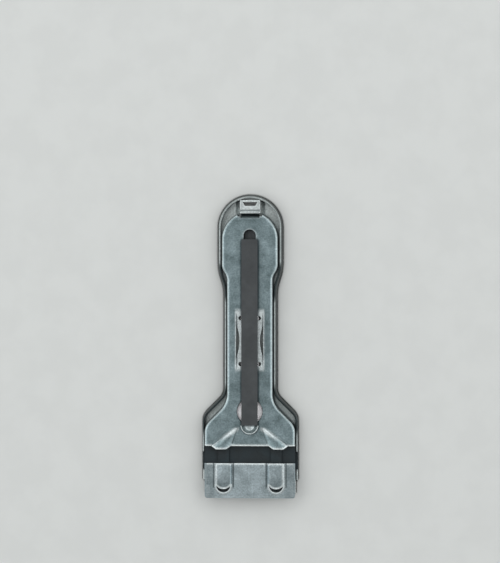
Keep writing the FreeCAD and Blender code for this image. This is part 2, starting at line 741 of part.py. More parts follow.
def screw_holes(name, low, high):
    holes = []
    for end, y in (("front", FRONT_NECK), ("rear", REAR_NECK)):
        holes.append(cylinder(f"{name}_{end}", "sizes.screw_diameter / 2", "0", y, low, high))
    return holes


def thumb_slide():
    bar_half = "(sizes.bar_width / 2)"
    neck_half = f"({NECK_WIDTH} / 2)"
    bar_top = f"({BAR_BOTTOM} + sizes.bar_thickness)"
    bar = box("slide_bar", bar_half, BAR_FRONT, BAR_REAR, BAR_BOTTOM, bar_top)
    parts = [round_upright("slide_bar_rounded", bar, cell("bar_edge_radius"))]
    for end, y in (("front", FRONT_NECK), ("rear", REAR_NECK)):
        neck_low = f"({y} - sizes.neck_length / 2)"
        neck_high = f"({y} + sizes.neck_length / 2)"
        parts.append(box(f"slide_neck_{end}", neck_half, neck_low, neck_high, STRIP_TOP, BAR_BOTTOM))
    seat_half = "(sizes.leaf_tail_width / 2 + sizes.leaf_seat_clearance)"
    seat_rear = f"({LEAF_REAR} + sizes.leaf_seat_clearance)"
    cuts = [box("slide_leaf_seat", seat_half, BAR_FRONT, seat_rear, BAR_BOTTOM, LEAF_TOP)]
    cuts += screw_holes("slide_screw_hole", STRIP_TOP, f"({STRIP_BOTTOM} + sizes.screw_length)")
    rivet_top = f"({LEAF_BOTTOM} + sizes.leaf_rivet_length)"
    rivet_radius = "sizes.rivet_diameter / 2"
    cuts.append(cylinder("slide_rivet_hole", rivet_radius, "0", LEAF_RIVET, LEAF_TOP, rivet_top))
    return cut("thumb_slide", fuse("slide_solid", parts), cuts)


def click_leaf():
    tail_half = "(sizes.leaf_tail_width / 2)"
    rim_top = f"({LEAF_TOP} + sizes.leaf_rim_height)"
    rim_inner = "(sizes.leaf_nose_radius - sizes.leaf_rim_width)"
    rim_room = cylinder("leaf_rim_room", rim_inner, "0", BAR_FRONT, LEAF_TOP, rim_top)
    flat = [
        box("leaf_tail", tail_half, BAR_FRONT, LEAF_REAR, LEAF_BOTTOM, LEAF_TOP),
        nose_half("leaf_nose", LEAF_BOTTOM, LEAF_TOP),
        cut("leaf_rim", nose_half("leaf_rim_blank", LEAF_TOP, rim_top), [rim_room]),
    ]
    rise = "((sizes.pip_radius ^ 2 - sizes.pip_depth ^ 2) / (2 * sizes.pip_depth))"
    ball = doc.addObject("Part::Sphere", "leaf_pip_ball")
    bind(ball, "Radius", f"({rise} + sizes.pip_depth)")
    pip_y = f"({BAR_FRONT} - sizes.pip_reach)"
    pip_low = f"({LEAF_BOTTOM} - sizes.pip_depth)"
    place(ball, "0", pip_y, f"{LEAF_BOTTOM} + {rise}")
    pip = doc.addObject("Part::Common", "leaf_pip")
    pip.Base = ball
    pip.Tool = cylinder("leaf_pip_room", "sizes.pip_radius", "0", pip_y, pip_low, LEAF_TOP)
    dish = doc.addObject("Part::Sphere", "leaf_dish_ball")
    bind(dish, "Radius", f"({rise} + sizes.pip_depth)")
    place(dish, "0", pip_y, f"{LEAF_TOP} + {rise}")
    hole = cylinder("leaf_rivet_hole", "sizes.rivet_diameter / 2", "0", LEAF_RIVET, LEAF_BOTTOM, LEAF_TOP)
    return cut("click_leaf", fuse("leaf_solid", flat + [pip]), [hole, dish])


def nose_half(name, low, high):
    """The half disc of the leaf's nose, in front of the bar, between two levels."""
    radius = "sizes.leaf_nose_radius"
    half = doc.addObject("Part::Common", name)
    half.Base = cylinder(f"{name}_disc", radius, "0", BAR_FRONT, low, high)
    half.Tool = box(f"{name}_room", radius, f"({BAR_FRONT} - {radius})", BAR_FRONT, low, high)
    return half


# Fasteners

def fastener(name, x, y, shank, head, shank_low, shank_high, head_low, head_high):
    """A shank with a flat head, upright."""
    return fuse(name, [
        cylinder(name + "_shank", f"sizes.{shank} / 2", x, y, shank_low, shank_high),
        cylinder(name + "_head", f"sizes.{head} / 2", x, y, head_low, head_high),
    ])


def group(label, items):
    item = doc.addObject("Part::Compound", label)
    item.Links = items
    return item


def slide_screws():
    """Screws that draw the necks of the thumb slide down on the drive strip, from below."""
    screws = []
    for end, y in (("front", FRONT_NECK), ("rear", REAR_NECK)):
        screws.append(fastener(
            f"slide_screw_{end}", "0", y, "screw_diameter", "screw_head_diameter",
            STRIP_BOTTOM, f"({STRIP_BOTTOM} + sizes.screw_length)",
            f"({STRIP_BOTTOM} - sizes.screw_head_height)", STRIP_BOTTOM))
    return group("slide_screws", screws)


def carrier_rivets():
    """Rivets that hold the drive strip on the carrier."""
    rivets = []
    for side, sign in (("left", "-"), ("right", "")):
        x = f"{sign}sizes.rivet_pitch / 2"
        rivets.append(fastener(
            f"carrier_rivet_{side}", x, RIVET_ROW, "rivet_diameter", "rivet_head_diameter",
            f"({STRIP_TOP} - sizes.rivet_length)", STRIP_TOP,
            STRIP_TOP, f"({STRIP_TOP} + sizes.rivet_head_height)"))
    return group("carrier_rivets", rivets)


def leaf_rivet():
    """The rivet that holds the click leaf in the thumb slide."""
    return fastener(
        "leaf_rivet", "0", LEAF_RIVET, "rivet_diameter", "rivet_head_diameter",
        LEAF_BOTTOM, f"({LEAF_BOTTOM} + sizes.leaf_rivet_length)",
        f"({LEAF_BOTTOM} - sizes.rivet_head_height / 2)", LEAF_BOTTOM)


def turned_spare():
    """The spare blade, turned lengthways and laid on the floor of the handle."""
    spare = blade("spare_blade", "sizes.sheet_gauge")
    turn = FreeCAD.Rotation(Vector(0, 0, 1), 90)
    centre_y = (size(BLADE_EDGE) + size(BLADE_BACK)) / 2
    target_y = size(TAIL_END) - cell("spare_from_tail") - cell("blade_length") / 2
    moved = turn.multVec(Vector(0, centre_y, 0))
    spare.Placement = FreeCAD.Placement(Vector(0, target_y, 0).sub(moved), turn)
    return spare


PARTS = {
    "base_shell": sheet_part("base_shell", base_shape()),
    "cover_shell": sheet_part("cover_shell", cover_shape()),
    "front_guard": sheet_part("front_guard", guard_shape()),
    "blade": blade("blade", BLADE_BOTTOM),
    "spare_blade": turned_spare(),
    "blade_carrier": carrier(),
    "drive_strip": drive_strip(),
    "thumb_slide": thumb_slide(),
    "click_leaf": click_leaf(),
    "slide_screws": slide_screws(),
    "carrier_rivets": carrier_rivets(),
    "leaf_rivet": leaf_rivet(),
}
doc.recompute()

for item in doc.Objects:
    if "Invalid" in item.State or "Error" in item.State:
        raise RuntimeError(f"{item.Label} failed: {item.State}")
for label, item in PARTS.items():
    item.Label = label
    if item.Shape.isNull() or not item.Shape.isValid():
        raise RuntimeError(f"{label} has no valid shape")

os.makedirs("parts", exist_ok=True)
for label, item in PARTS.items():
    item.Shape.exportStep(f"parts/{label}.step")
    print(label, len(item.Shape.Solids), "solids", round(item.Shape.Volume, 2), "mm3")
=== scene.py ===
"""Hob scraper on a plain pale floor, seen from above: materials, light and camera, in metres."""
import json
import math
from collections import namedtuple
import bpy
from mathutils import Matrix, Vector

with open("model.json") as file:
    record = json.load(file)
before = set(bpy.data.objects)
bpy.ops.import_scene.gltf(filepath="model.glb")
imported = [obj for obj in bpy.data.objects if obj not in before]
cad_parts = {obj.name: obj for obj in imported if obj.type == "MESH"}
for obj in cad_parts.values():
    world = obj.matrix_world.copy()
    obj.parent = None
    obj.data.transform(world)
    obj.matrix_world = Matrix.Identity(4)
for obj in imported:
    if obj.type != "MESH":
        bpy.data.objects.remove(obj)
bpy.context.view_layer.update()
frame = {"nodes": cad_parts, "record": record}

MM = 0.001


def mm(*lengths):
    """Lengths given in millimetres, as metres."""
    return tuple(length * MM for length in lengths)


def behind(start, *steps):
    """Places along Y, given by how many millimetres they lie behind a start."""
    return tuple(start + step * MM for step in steps)


def ends_of(name):
    """The least and the greatest Y of a solid."""
    along = [corner[1] for corner in frame["nodes"][name].bound_box]
    return min(along), max(along)


def linear(red, green, blue):
    """An sRGB colour given from 0 to 255, as linear values."""
    def channel(value):
        share = value / 255
        return share / 12.92 if share <= 0.04045 else ((share + 0.055) / 1.055) ** 2.4
    return (channel(red), channel(green), channel(blue), 1.0)


def scaled(colour, share):
    """A colour made darker or paler by a share."""
    return tuple(min(1.0, share * value) for value in colour[:3]) + (1.0,)


# Camera: straight above, leaning a little to the right, framed as the photograph is
IMAGE_HEIGHT = 563
MM_PER_PIXEL = 0.4615
CAMERA_TARGET = Vector(mm(0.1, 30.0, 6.0))
CAMERA_DISTANCE = 1.1
CAMERA_LEAN = math.radians(4.0)
SENSOR_HEIGHT = 24.0
CLIP_START = 0.01

# Light: an even white world, and soft boxes given by place, sides and watts
WORLD_STRENGTH = 0.35
SOFT_BOXES = {
    "left_box": ((-0.8, 0.1, 0.5), (0.9, 1.4), 5.6),
    "right_box": ((0.8, 0.1, 0.5), (0.9, 1.4), 5.0),
    "tail_box": ((0.0, 0.9, 0.6), (1.4, 0.9), 5.2),
    "front_box": ((0.0, -0.8, 0.5), (1.2, 0.8), 2.2),
}

# Colours
WHITE = (1.0, 1.0, 1.0, 1.0)
# Rubbed edges and painted highlights on the zinc
WORN_AND_HIGHLIT_ZINC = linear(225, 234, 235)
# Painted shade on the zinc, and the darker painted shade on the top of the base's wall where it curves
SHADED_ZINC = linear(80, 92, 94)
CURVE_SHADE_ZINC = linear(38, 47, 49)
# Painted shade in gaps, in creases and under covering parts, and the painted shadow round the part on the
# floor
CREVICE_DARK = (0.05, 0.06, 0.06, 1.0)
CREASE_DARK = (0.35, 0.37, 0.38, 1.0)
BLADE_TONE = linear(150, 154, 157)
STRIP_TONE = linear(250, 248, 253)
FLOOR_TONE = (0.60, 0.62, 0.61, 1.0)

# Dark and light tones of the uneven finishes
BASE_TONES = (linear(174, 184, 183), linear(214, 222, 221))
COVER_TONES = (linear(112, 130, 133), linear(154, 172, 177))
GUARD_TONES = (linear(156, 171, 175), linear(184, 198, 203))
LEAF_TONES = (linear(120, 136, 138), linear(150, 165, 167))
BLACK_TONES = (linear(6, 20, 24), linear(14, 32, 38))
GREY_TONES = (linear(48, 52, 54), linear(60, 64, 66))

# Noises, and the span of values that most of a noise lies in
ZINC_CLOUD = {"scale": 180.0, "detail": 6.0, "roughness": 0.7}
ZINC_GRAIN = {"scale": 1300.0, "detail": 3.0, "roughness": 0.7}
ZINC_RUB = {"scale": 900.0, "detail": 2.0, "stretch": (1.0, 0.05, 1.0)}
SADDLE_MOTTLE = {"scale": 700.0, "detail": 3.0}
STRAP_MOTTLE = {"scale": 900.0, "detail": 4.0, "roughness": 0.7}
POLISH_LINES = {"scale": 2200.0, "detail": 2.0, "stretch": (1.0, 0.06, 1.0)}
PLASTIC_GRAIN = {"scale": 1800.0, "detail": 3.0}
PLASTIC_CLOUD = {"scale": 160.0, "detail": 4.0}
FLOOR_FIBRE = {"scale": 60.0, "detail": 3.0}
NOISE_SPAN = (0.3, 0.7)

# Zinc: its shades by grain, how metallic it is elsewhere and on its rubbed edges and painted highlights,
# its unevenness and relief
ZINC_GRAIN_SHADES = (0.74, 1.26)
ZINC_METALLIC = (1.0, 0.35)
ZINC_UNEVEN = 0.07
ZINC_RELIEF = {"strength": 0.25, "distance": 0.02 * MM}
RUB_SHARE = 0.5
EDGE_RADIUS = 0.45 * MM

# Steel, plastic and floor
STEEL_SPAN = (0.35, 0.65)
STEEL_PALER = 1.1
STEEL_SMOOTHER = 0.05
STEEL_ROUGHER = 0.08
STEEL_RELIEF = {"strength": 0.15, "distance": 0.01 * MM}
PLASTIC_SPAN = (0.35, 0.68)
PLASTIC_UNEVEN = 0.08
PLASTIC_RELIEF = {"strength": 0.35, "distance": 0.03 * MM}
FLOOR_SIDE = 6.0
FLOOR_SPAN = (0.4, 0.6)
FLOOR_DARKER = 0.97
FLOOR_ROUGHNESS = 0.9
# Keeps the floor and the underside of the base out of one plane
FLOOR_DROP = 0.02 * MM

# Painted shade in gaps, in creases and under covering parts, and the painted shadow on the floor round the
# part: how far gaps are felt, and how open a place is where the shade is darkest and where it ends
RAY_SAMPLES = 8
CREVICE_REACH = 3.0 * MM
CREVICE_START_SHARE = 0.2
CREASE_REACH = 1.0 * MM
CREASE_SPAN = (0.80, 0.97)
UNDER_SHADE_REACH = 8.0 * MM
UNDER_SHADE_SPAN = (0.35, 0.95)
CONTACT_REACH = 1.3 * MM
CONTACT_SPAN = (0.63, 0.9)

# A mask runs from 0 to 1 between a pair of values. These masks go by the turn of a face.
EDGE_TURN = (0.99, 0.90)
UPRIGHT = (0.50, 0.20)
BENT = (0.97, 0.80)
SIDEWAYS = (0.02, 0.2)
ENDWAYS = (0.2, 0.5)
# How much painted highlight a bend that faces inward takes
INWARD_HIGHLIGHT = 0.15

# Places along the solids that the others are measured from; arches reach past the cover's front edge
ARCH_REACH = 1.5 * MM
TAIL = ends_of("base_shell")[1]
COVER_FRONT = ends_of("cover_shell")[0] + ARCH_REACH
GUARD_FRONT = ends_of("front_guard")[0]
BAR_FRONT = ends_of("thumb_slide")[0]

# A patch on the middle line: half its width, its two ends, and how soft its border is across and along
Patch = namedtuple("Patch", "half_width ends soft")
BORDER_SOFT = mm(0.3, 0.3)

# Saddle in the cover, rubbed bright where the slide runs and given a painted highlight at its ends, with
# the range of its mottled shine
SADDLE_MIDDLE = COVER_FRONT + 48.9 * MM
SADDLE = Patch(6.6 * MM, behind(SADDLE_MIDDLE, -13.2, 13.2), mm(0.4, 1.6))
SADDLE_CORNERS = Patch(6.75 * MM, behind(SADDLE_MIDDLE, -13.9, 13.9), mm(0.4, 1.3))
SADDLE_END = mm(7.0, 9.5)
SADDLE_SHINE = (0.72, 1.0)

# Front edge, round hole and flutes of the cover, with a painted highlight along the front edge and in a
# streak along each flute, and painted shade in the flutes' inner creases; a line along a flute is given by
# two places
FRONT_EDGE = behind(COVER_FRONT, 3.4, 1.9)
FRONT_HIGHLIGHT_REACH = 2.0 * MM
FRONT_HIGHLIGHT = 0.9
HOLE_CENTRE = COVER_FRONT + 15.9 * MM
HOLE_RIM = mm(7.8, 7.0)
FLUTE_TIP = COVER_FRONT + 8.3 * MM
FLUTES = behind(COVER_FRONT, 9.1, 7.9)
FLUTE_MIDDLE = ((6.1 * MM, FLUTE_TIP), (13.2 * MM, COVER_FRONT))
FLUTE_BREADTH = mm(5.5, 4.5)
FLUTE_INSIDE = ((5.6 * MM, FLUTE_TIP), (8.7 * MM, COVER_FRONT))
FLUTE_CREASE = mm(0.6, 0.2)
FLUTE_SHADE = 0.5
STREAK_ENDS = behind(COVER_FRONT, 7.9, 2.0)
STREAK = ((6.0 * MM, STREAK_ENDS[0]), (14.2 * MM, STREAK_ENDS[1]))
STREAK_WIDTH = mm(3.0, 0.2)
STREAK_FADE = behind(COVER_FRONT, 1.3, 6.4)
STREAK_HIGHLIGHT = 0.8
BEHIND_EDGE = behind(COVER_FRONT, 1.0, 1.7)
OFF_MIDDLE = mm(4.5, 5.5)

# Tail: the strap of the base, with the range of its mottled shine, and the cover's bend down to its tongue,
# which takes painted shade
STRAP = Patch(5.4 * MM, behind(TAIL, -8.6, -2.3), BORDER_SOFT)
STRAP_SHINE = (0.0, 0.65)
TONGUE_BEND = Patch(4.6 * MM, behind(TAIL, -10.8, -8.8), BORDER_SOFT)

# Painted shade on the top of the base's wall, with the rear and the front of the stretches where it curves
# and the shade is darkest
WALL_TOP = mm(3.2, 3.8)
WALL_TOP_SHADE = 0.45
NECK = (behind(TAIL, -28.0, -34.0), behind(TAIL, -54.0, -46.0))
SHOULDERS = (behind(COVER_FRONT, 32.9, 24.9), behind(COVER_FRONT, 0.9, 7.9))
CURVE_SHADE = 0.97

# Guard: its border, its ribs and the lips round their openings, with painted shade on the ribs, their feet
# and the guard's ends, and a painted highlight on the lips
GUARD_INSIDE = Patch(20.0 * MM, behind(GUARD_FRONT, 0.8, 20.0), BORDER_SOFT)
GUARD_REAR_EDGE = behind(GUARD_FRONT, 15.4, 14.8)
GUARD_END = mm(15.0, 17.5)
GUARD_END_SHADE = 0.3
RIB_CENTRE = 12.2 * MM
RIB_ENDS = behind(GUARD_FRONT, 4.0, 5.4)
RIB_FLOOR = mm(3.6, 3.0)
RIB_DIP = behind(GUARD_FRONT, 13.0, 5.0)
RIB_INNER_HALF = mm(11.5, 10.5)
RIB_SHADE = 0.5
FOOT_INNER = mm(4.1, 4.4)
FOOT_OUTER = mm(5.1, 4.8)
FOOT_SHADE = 0.8
OPENING_CENTRE = GUARD_FRONT + 5.85 * MM
OPENING_LIP = mm(4.3, 4.0)
LIP_CENTRE = OPENING_CENTRE + 2.8 * MM
LIP_INNER = mm(3.4, 3.7)
LIP_ENDS = behind(GUARD_FRONT, 7.0, 6.2)

# Nose of the leaf, round the front end of the bar, with a painted highlight on its rim and pip
NOSE_RIM = mm(3.6, 3.9)
NOSE_HIGHLIGHT = 0.75
PIP_EDGE = mm(2.5, 2.1)
PIP_HIGHLIGHT = 0.5

# Rubbing of the plating and painted highlight: how far they reach in from an edge, and how bright they make
# edges and bends
WearAndHighlight = namedtuple("WearAndHighlight", "reach edge bend")


class Nodes:
    """A material's node tree, with short calls that add nodes and give back what they put out."""

    def __init__(self, name):
        self.material = bpy.data.materials.new(name)
        self.material.use_nodes = True
        self.tree = self.material.node_tree
        self.shader = self.tree.nodes["Principled BSDF"]
        # The piece's own place and facing, which stay with it when it moves
        piece = self.add("ShaderNodeTexCoord").outputs
        self.place = piece["Object"]
        self.facing = piece["Normal"]

    def add(self, kind, **settings):
        """A new node with its settings."""
        node = self.tree.nodes.new(kind)
        for key, value in settings.items():
            setattr(node, key, value)
        return node

    def feed(self, node, inputs):
        """Give inputs of a node, named or counted, a fixed value or what another node puts out."""
        for key, value in inputs.items():
            if isinstance(value, bpy.types.NodeSocket):
                self.tree.links.new(value, node.inputs[key])
            else:
                node.inputs[key].default_value = value

    def noise(self, scale, detail, roughness=0.55, stretch=(1.0, 1.0, 1.0)):
        """Noise that is fixed to the piece."""
        mapping = self.add("ShaderNodeMapping")
        self.feed(mapping, {"Vector": self.place, "Scale": stretch})
        node = self.add("ShaderNodeTexNoise")
        self.feed(node, {"Vector": mapping.outputs["Vector"], "Scale": scale})
        self.feed(node, {"Detail": detail, "Roughness": roughness})
        return node.outputs["Fac"]

    def ramp(self, fac, span, colours):
        """The first colour below a span of a factor, the second above it, and a blend within it."""
        node = self.add("ShaderNodeValToRGB")
        for element, position, colour in zip(node.color_ramp.elements, span, colours):
            element.position = position
            element.color = colour
        self.feed(node, {"Fac": fac})
        return node.outputs["Color"]

    def mix(self, fac, first, second, blend="MIX"):
        """Two colours mixed by a factor."""
        node = self.add("ShaderNodeMix", data_type="RGBA", blend_type=blend)
        colours = [index for index, socket in enumerate(node.inputs) if socket.type == "RGBA"]
        self.feed(node, {"Factor": fac, colours[0]: first, colours[1]: second})
        return [socket for socket in node.outputs if socket.type == "RGBA"][0]

    def tinted(self, colour, tint):
        """A colour multiplied by another."""
        return self.mix(1.0, colour, tint, "MULTIPLY")

    def mapped(self, value, source, target=(0.0, 1.0), way="LINEAR"):
        """A value carried over from one range to another, and held at its ends."""
        node = self.add("ShaderNodeMapRange", interpolation_type=way)
        self.feed(node, {"Value": value, "From Min": source[0], "From Max": source[1]})
        self.feed(node, {"To Min": target[0], "To Max": target[1]})
        return node.outputs["Result"]

    def spread(self, noise, low, high):
        """A noise carried over to a range of values."""
        return self.mapped(noise, NOISE_SPAN, (low, high))

    def between(self, value, zero, one):
        """A mask that is 0 at one value and 1 at the other, smooth in between."""
        return self.mapped(value, (zero, one), way="SMOOTHSTEP")

    def math(self, operation, *values):
        """What a math operation makes of values, linked or fixed."""
        node = self.add("ShaderNodeMath", operation=operation)
        self.feed(node, dict(enumerate(values)))
        return node.outputs["Value"]

    def joined(self, operation, values):
        """Values taken together two by two."""
        total = values[0]
        for value in values[1:]:
            total = self.math(operation, total, value)
        return total

    def all_of(self, *masks):
        """The product of some masks and shares."""
        return self.joined("MULTIPLY", masks)

    def any_of(self, *masks):
        """The greatest of some masks and shares."""
        return self.joined("MAXIMUM", masks)

    def outside(self, mask):
        """1 where a mask is 0, and 0 where it is 1."""
        return self.math("SUBTRACT", 1.0, mask)

    def split(self, vector):
        """The X, Y and Z of a vector."""
        node = self.add("ShaderNodeSeparateXYZ")
        self.feed(node, {"Vector": vector})
        return node.outputs

    def at(self, axis):
        """The place along an axis."""
        return self.split(self.place)[axis]

    def side(self):
        """The distance from the middle line."""
        return self.math("ABSOLUTE", self.at("X"))

    def along(self, zero, one):
        """A mask between two places along the part."""
        return self.between(self.at("Y"), zero, one)

    def across(self, zero, one):
        """A mask between two distances from the middle line."""
        return self.between(self.side(), zero, one)

    def off_line(self, start, end):
        """How far out, sideways, a place lies from a line between two places, or from its mirror image."""
        lean = (end[0] - start[0]) / (end[1] - start[1])
        line = self.math("MULTIPLY_ADD", self.at("Y"), lean, start[0] - lean * start[1])
        return self.math("SUBTRACT", self.side(), line)

    def away(self, x, y):
        """The distance, seen from above, from a place or from its mirror image."""
        across = self.math("SUBTRACT", self.side(), x)
        along = self.math("SUBTRACT", self.at("Y"), y)
        squares = [self.math("MULTIPLY", leg, leg) for leg in (across, along)]
        return self.math("SQRT", self.math("ADD", *squares))

    def patch(self, patch):
        """1 on a patch, 0 outside it, soft at its border."""
        front, rear = patch.ends
        across, along = patch.soft
        return self.all_of(self.across(patch.half_width + across, patch.half_width - across),
                           self.along(front - along, front + along), self.along(rear + along, rear - along))

    def outward(self, axis):
        """How far a face turns away from the middle of the part along an axis."""
        return self.math("MULTIPLY", self.split(self.facing)[axis], self.math("SIGN", self.at(axis)))

    def level(self):
        """1 on a face that lies flat, 0 on one that stands upright."""
        return self.math("ABSOLUTE", self.split(self.facing)["Z"])

    def upright(self):
        """1 on a face that stands upright or nearly so."""
        return self.between(self.level(), *UPRIGHT)

    def bent(self):
        """1 on a bend that faces away from the middle, little on one that faces inward."""
        bend = self.math("SUBTRACT", self.between(self.level(), *BENT), self.upright())
        outward = self.any_of(self.between(self.outward("X"), *SIDEWAYS),
                              self.between(self.outward("Y"), *ENDWAYS), INWARD_HIGHLIGHT)
        return self.all_of(bend, outward)

    def rounded(self, radius):
        """The normal with cut edges rounded by a radius."""
        node = self.add("ShaderNodeBevel", samples=RAY_SAMPLES)
        self.feed(node, {"Radius": radius})
        return node.outputs["Normal"]

    def edge(self, radius):
        """1 beside a sharp edge, falling to 0 within a radius."""
        normal = self.add("ShaderNodeNewGeometry").outputs["Normal"]
        turn = self.add("ShaderNodeVectorMath", operation="DOT_PRODUCT")
        self.feed(turn, {0: self.rounded(radius), 1: normal})
        return self.between(turn.outputs["Value"], *EDGE_TURN)

    def crevice(self, reach):
        """1 in the open, less in a narrow gap."""
        node = self.add("ShaderNodeAmbientOcclusion", samples=RAY_SAMPLES)
        self.feed(node, {"Distance": reach})
        return node.outputs["AO"]

    def bump(self, height, strength, distance, normal=None):
        """Give the shader a fine relief, on top of a normal if there is one."""
        node = self.add("ShaderNodeBump")
        self.feed(node, {"Height": height, "Strength": strength, "Distance": distance})
        if normal:
            self.feed(node, {"Normal": normal})
        self.feed(self.shader, {"Normal": node.outputs["Normal"]})


def worn_and_highlit_mask(nodes, wear_and_highlight, shine, dull):
    """Where plating is rubbed bright and where a highlight is painted: on edges and bends that aren't dull,
    and on the patches that shine gives.
    """
    edge = nodes.all_of(nodes.edge(wear_and_highlight.reach), wear_and_highlight.edge)
    bend = nodes.all_of(nodes.bent(), wear_and_highlight.bend)
    worn_and_highlit = nodes.any_of(edge, bend)
    if dull:
        worn_and_highlit = nodes.all_of(worn_and_highlit, nodes.outside(dull(nodes)))
    if shine:
        worn_and_highlit = nodes.any_of(worn_and_highlit, shine(nodes))
    return worn_and_highlit


def painted_gap_shade(nodes, tone, gap_end):
    """A tone with painted shade in narrow gaps and in creases."""
    gap_span = (CREVICE_START_SHARE * gap_end, gap_end)
    gap = nodes.ramp(nodes.crevice(CREVICE_REACH), gap_span, (CREVICE_DARK, WHITE))
    crease = nodes.ramp(nodes.crevice(CREASE_REACH), CREASE_SPAN, (CREASE_DARK, WHITE))
    return nodes.tinted(nodes.tinted(tone, gap), crease)


def zinc(name, tones, wear_and_highlight, roughness=0.42, side_shade=1.0, gap_end=0.75,
         shine=None, dull=None, shaded=None, shade_tone=SHADED_ZINC):
    """Dull zinc plating: cloudy spangle, fine grain, edges and bends rubbed bright and given a painted
    highlight, painted shade in narrow gaps.

    side_shade is how bright painted shade leaves its upright faces, and gap_end how open a place is where
    gaps end.
    shine, dull and shaded each take the nodes and give where the plating is rubbed bright and takes painted
    highlights, where its edges are neither rubbed bright nor highlighted and where painted shade gives it
    the shade's tone.
    """
    nodes = Nodes(name)
    cloud = nodes.noise(**ZINC_CLOUD)
    grain = nodes.noise(**ZINC_GRAIN)
    worn_and_highlit = worn_and_highlit_mask(nodes, wear_and_highlight, shine, dull)
    sides = nodes.ramp(nodes.upright(), (0.0, 1.0), (WHITE, scaled(WHITE, side_shade)))
    tone = nodes.tinted(nodes.ramp(cloud, NOISE_SPAN, tones), sides)
    tone = nodes.mix(worn_and_highlit, tone, WORN_AND_HIGHLIT_ZINC)
    if shaded:
        tone = nodes.mix(shaded(nodes), tone, shade_tone)
    tone = nodes.tinted(tone, nodes.spread(grain, *ZINC_GRAIN_SHADES))
    nodes.feed(nodes.shader, {
        "Base Color": painted_gap_shade(nodes, tone, gap_end),
        "Metallic": nodes.mapped(worn_and_highlit, (0.0, 1.0), ZINC_METALLIC),
        "Roughness": nodes.spread(cloud, roughness - ZINC_UNEVEN, roughness + ZINC_UNEVEN),
    })
    height = nodes.mix(RUB_SHARE, grain, nodes.noise(**ZINC_RUB))
    nodes.bump(height, **ZINC_RELIEF, normal=nodes.rounded(EDGE_RADIUS))
    return nodes.material


def steel(name, colour, roughness, metallic=1.0, shade_under=False):
    """Steel with fine lengthwise polish lines, and painted shade where other parts cover it, if
    shade_under.

    A satin plating is less metallic.
    """
    nodes = Nodes(name)
    lines = nodes.noise(**POLISH_LINES)
    tone = nodes.ramp(lines, STEEL_SPAN, (colour, scaled(colour, STEEL_PALER)))
    if shade_under:
        tone = nodes.tinted(tone, nodes.ramp(nodes.crevice(UNDER_SHADE_REACH), UNDER_SHADE_SPAN, (CREVICE_DARK, WHITE)))
    nodes.feed(nodes.shader, {
        "Base Color": tone,
        "Metallic": metallic,
        "Roughness": nodes.spread(lines, roughness - STEEL_SMOOTHER, roughness + STEEL_ROUGHER),
    })
    nodes.bump(lines, **STEEL_RELIEF)
    return nodes.material


def plastic(name, tones, roughness):
    """Moulded plastic with a fine eroded grain and slight wear."""
    nodes = Nodes(name)
    grain = nodes.noise(**PLASTIC_GRAIN)
    nodes.feed(nodes.shader, {
        "Base Color": nodes.ramp(nodes.noise(**PLASTIC_CLOUD), PLASTIC_SPAN, tones),
        "Roughness": nodes.spread(grain, roughness - PLASTIC_UNEVEN, roughness + PLASTIC_UNEVEN),
    })
    nodes.bump(grain, **PLASTIC_RELIEF)
    return nodes.material


def cover_rub_and_highlight(nodes):
    """The sunk saddle, rubbed bright where the slide runs, with a painted highlight at its ends, and
    painted highlights along the front edge and in a streak along each flute.
    """
    from_middle = nodes.math("ABSOLUTE", nodes.math("SUBTRACT", nodes.at("Y"), SADDLE_MIDDLE))
    corners = nodes.all_of(nodes.patch(SADDLE_CORNERS), nodes.between(from_middle, *SADDLE_END))
    mottle = nodes.spread(nodes.noise(**SADDLE_MOTTLE), *SADDLE_SHINE)
    saddle = nodes.all_of(nodes.any_of(nodes.patch(SADDLE), corners), mottle)
    front = nodes.all_of(nodes.edge(FRONT_HIGHLIGHT_REACH), nodes.along(*FRONT_EDGE), FRONT_HIGHLIGHT)
    off = nodes.math("ABSOLUTE", nodes.off_line(*STREAK))
    streak = nodes.all_of(nodes.between(off, *STREAK_WIDTH), nodes.along(*FLUTES),
                          nodes.along(*STREAK_FADE), nodes.across(*OFF_MIDDLE), STREAK_HIGHLIGHT)
    return nodes.any_of(saddle, front, streak)


def cover_dull(nodes):
    """The rim of the round hole and the sides of the flutes, which are neither rubbed bright nor given a
    painted highlight.
    """
    hole = nodes.between(nodes.away(0.0, HOLE_CENTRE), *HOLE_RIM)
    flute = nodes.all_of(nodes.between(nodes.off_line(*FLUTE_MIDDLE), *FLUTE_BREADTH), nodes.along(*FLUTES),
                         nodes.along(*BEHIND_EDGE), nodes.across(*OFF_MIDDLE))
    return nodes.any_of(hole, flute)


def cover_shaded(nodes):
    """Painted shade on the bend down to the tongue, under the strap, and on the inner creases of the
    flutes.
    """
    off = nodes.math("ABSOLUTE", nodes.off_line(*FLUTE_INSIDE))
    crease = nodes.all_of(nodes.between(off, *FLUTE_CREASE), nodes.along(*FLUTES),
                          nodes.along(*BEHIND_EDGE), FLUTE_SHADE)
    return nodes.any_of(nodes.patch(TONGUE_BEND), crease)


def strap_shine(nodes):
    """The strap at the tail, paler, with a mottle."""
    mottle = nodes.spread(nodes.noise(**STRAP_MOTTLE), *STRAP_SHINE)
    return nodes.all_of(nodes.patch(STRAP), mottle)


def base_shaded(nodes):
    """Painted shade on the top of the base's wall, darkest where it curves, but not on the strap."""
    curves = [nodes.all_of(nodes.along(*rear), nodes.along(*front), CURVE_SHADE)
              for rear, front in (NECK, SHOULDERS)]
    return nodes.all_of(nodes.between(nodes.at("Z"), *WALL_TOP), nodes.outside(nodes.patch(STRAP)),
                        nodes.any_of(*curves, WALL_TOP_SHADE))


